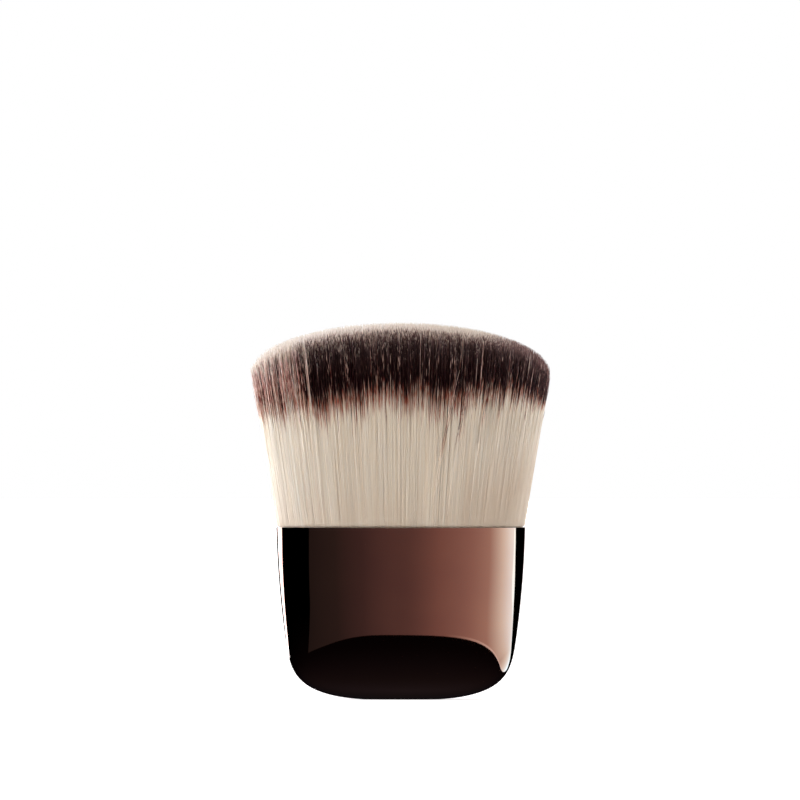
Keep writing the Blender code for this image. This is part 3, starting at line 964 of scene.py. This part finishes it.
# The bare tips are a little longer at the left, and shorter at the right and on cut filaments
left_tide = add_node(tree, RANGE, (share_parts["X"], -0.7, 0.1, -0.4 * mm, 0.0))
right_tide = add_node(tree, RANGE, (share_parts["X"], 0.5, 0.8, 0.0, 0.7 * mm))
dipped = add_node(tree, MATH, (rim_cut, 0.2), operation="MULTIPLY")
dipped = add_node(tree, MATH, (dipped, 0.25 * mm), operation="MINIMUM")
for shift in (left_tide, right_tide, dipped):
    from_tip = add_node(tree, MATH, (from_tip, shift), operation="ADD")
map_y = add_node(tree, RANGE, (from_tip, 0.0, paint_length, map_margin, 1 - map_margin))
map_place = add_node(tree, COMBINE, (map_x, map_y))
mapped = add_node(tree, "GeometryNodeStoreNamedAttribute", {
    "Geometry": real_tubes, "Name": "OFBake", "Value": map_place}, data_type="FLOAT2", domain="CORNER")
strands = add_node(tree, "GeometryNodeSetPosition", {"Geometry": mapped, "Position": bent})
smooth = add_node(tree, "GeometryNodeSetShadeSmooth", {"Geometry": strands})
real = add_node(tree, "GeometryNodeRealizeInstances", (smooth,))
dressed = add_node(tree, "GeometryNodeSetMaterial", {"Geometry": real, "Material": sizes["Finish"]})
add_node(tree, "NodeGroupOutput", (dressed,))
print("filaments:", len(tree.nodes), "nodes")

# %% [markdown]
# The tuft is bound as seven rows from front to back, as in the frame. Each row is a piece of its
# own, made by the same tree with its own bounds and seed.

# %% Rows of filaments
row_count = sum(name.startswith("tuft_row_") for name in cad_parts)
row_depth = 2 * root_half.y / row_count
hair_rows = []
for row in range(row_count):
    row_front = row * row_depth - root_half.y
    hair_rows.append(grow("hair_row_%d" % (row + 1), tree, {
        "Row Front": row_front, "Row Back": row_front + row_depth,
        "Seed": 20 + row, "Finish": filament}))

# %% [markdown]
# ## Inside the handle
#
# Nothing of this shows in the photograph, yet whoever takes the brush apart finds it: the cup that
# holds the tuft, the resin round the roots, a layer of adhesive, a core and a weight. Each gets the
# finish of how it was made. They share one recipe: clouds of two tones, a roughness that follows
# them, and a fine relief, whose grain is long and thin where a tool has drawn the surface.

# %% Finishes inside the handle
inner_finishes = {
    # Metal sheet drawn into a cup: bright, with fine upright lines
    "deep_drawn_aluminium": {"metallic": 1.0, "tones": ("#b4b8bc", "#c9ccce"), "rough": (0.22, 0.38),
                             "grain": (0.12, 0.12, 6.0), "relief": 0.004},
    # Zinc poured into an iron mould: dull grey, cloudy and slightly rough
    "gravity_cast_zinc": {"metallic": 1.0, "tones": ("#83868a", "#a2a5a8"), "rough": (0.42, 0.62),
                          "grain": (0.9, 0.9, 0.9), "relief": 0.03},
    # Black plastic from a spark-eroded mould: an even satin grain
    "injection_moulded_abs": {"metallic": 0.0, "tones": ("#262628", "#303033"), "rough": (0.42, 0.56),
                              "grain": (0.15, 0.15, 0.15), "relief": 0.008},
    # Poured adhesive, amber and glossy, with slow ripples from setting
    "poured_cured_epoxy": {"metallic": 0.0, "tones": ("#b8924e", "#cfae6c"), "rough": (0.12, 0.22),
                           "grain": (2.4, 2.4, 2.4), "relief": 0.05},
}
inner_materials = {}
for name, finish in inner_finishes.items():
    material, tree, shader = new_finish(name, Metallic=finish["metallic"])
    place = add_node(tree, "ShaderNodeTexCoord").outputs["Object"]
    grain = [1 / (length * mm) for length in finish["grain"]]
    stretched = add_node(tree, VECTOR, (place, grain), operation="MULTIPLY")
    clouds = add_node(tree, NOISE, {"Vector": stretched, "Scale": 1.0, "Detail": 4.0})
    tone = add_node(tree, RAMP, (clouds,))
    set_stops(tone, [(0.35, finish["tones"][0]), (0.65, finish["tones"][1])])
    rough = add_node(tree, RANGE, (clouds, 0.3, 0.7, *finish["rough"]))
    relief = add_node(tree, "ShaderNodeBump", {"Distance": finish["relief"] * mm, "Height": clouds})
    tree.links.new(tone.outputs[0], shader.inputs["Base Color"])
    tree.links.new(rough.outputs[0], shader.inputs["Roughness"])
    tree.links.new(relief.outputs[0], shader.inputs["Normal"])
    inner_materials[name] = material
print("finishes inside the handle:", list(inner_materials))

for node, name in (("ferrule_cup", "deep_drawn_aluminium"), ("weight_slug", "gravity_cast_zinc"),
                   ("core_block", "injection_moulded_abs"), ("epoxy_bed", "poured_cured_epoxy")):
    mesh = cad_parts[node].data
    mesh.materials.clear()
    mesh.materials.append(inner_materials[name])

# %% [markdown]
# The resin plug holds the roots. It fills the bottom of the cup up to a rounded top edge, and
# follows the cup's oval with a thin gap all round.

# %% Resin plug
cup_low, cup_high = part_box("ferrule_cup")
cup_floor = 0.5 * mm
cup_wall = 0.4 * mm
fit_gap = 0.3 * mm
plug_height = 5.2 * mm
plug_sides = 96
plug_round = 0.4 * mm
plug_low = cup_low.z + cup_floor + fit_gap

bm = bmesh.new()
ring = []
for side in range(plug_sides):
    turn = math.tau * side / plug_sides
    spot = []
    for half, reach in ((cup_high.x, math.cos(turn)), (cup_high.y, math.sin(turn))):
        oval = math.copysign(abs(reach) ** (2 / section_power), reach)
        spot.append((half - cup_wall - fit_gap) * oval)
    ring.append(bm.verts.new((*spot, plug_low)))
bottom = bm.faces.new(ring)
top = bmesh.ops.extrude_face_region(bm, geom=[bottom])["geom"]
top_corners = [item for item in top if isinstance(item, bmesh.types.BMVert)]
bmesh.ops.translate(bm, verts=top_corners, vec=(0, 0, plug_height))
bmesh.ops.recalc_face_normals(bm, faces=bm.faces)
resin_plug = add_piece("resin_plug", bm, inner_materials["poured_cured_epoxy"])
resin_plug.data.shade_smooth()
round_edges(resin_plug, plug_round, 4, 50)
print("resin plug stands on", round(plug_low / mm, 1), "mm")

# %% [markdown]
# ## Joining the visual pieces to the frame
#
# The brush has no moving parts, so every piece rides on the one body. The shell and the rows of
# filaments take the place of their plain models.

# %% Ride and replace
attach(polished_shell, "root")
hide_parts("handle_shell")
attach(resin_plug, "root")
for row, piece in enumerate(hair_rows):
    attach(piece, "root")
    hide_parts("tuft_row_%d" % (row + 1))
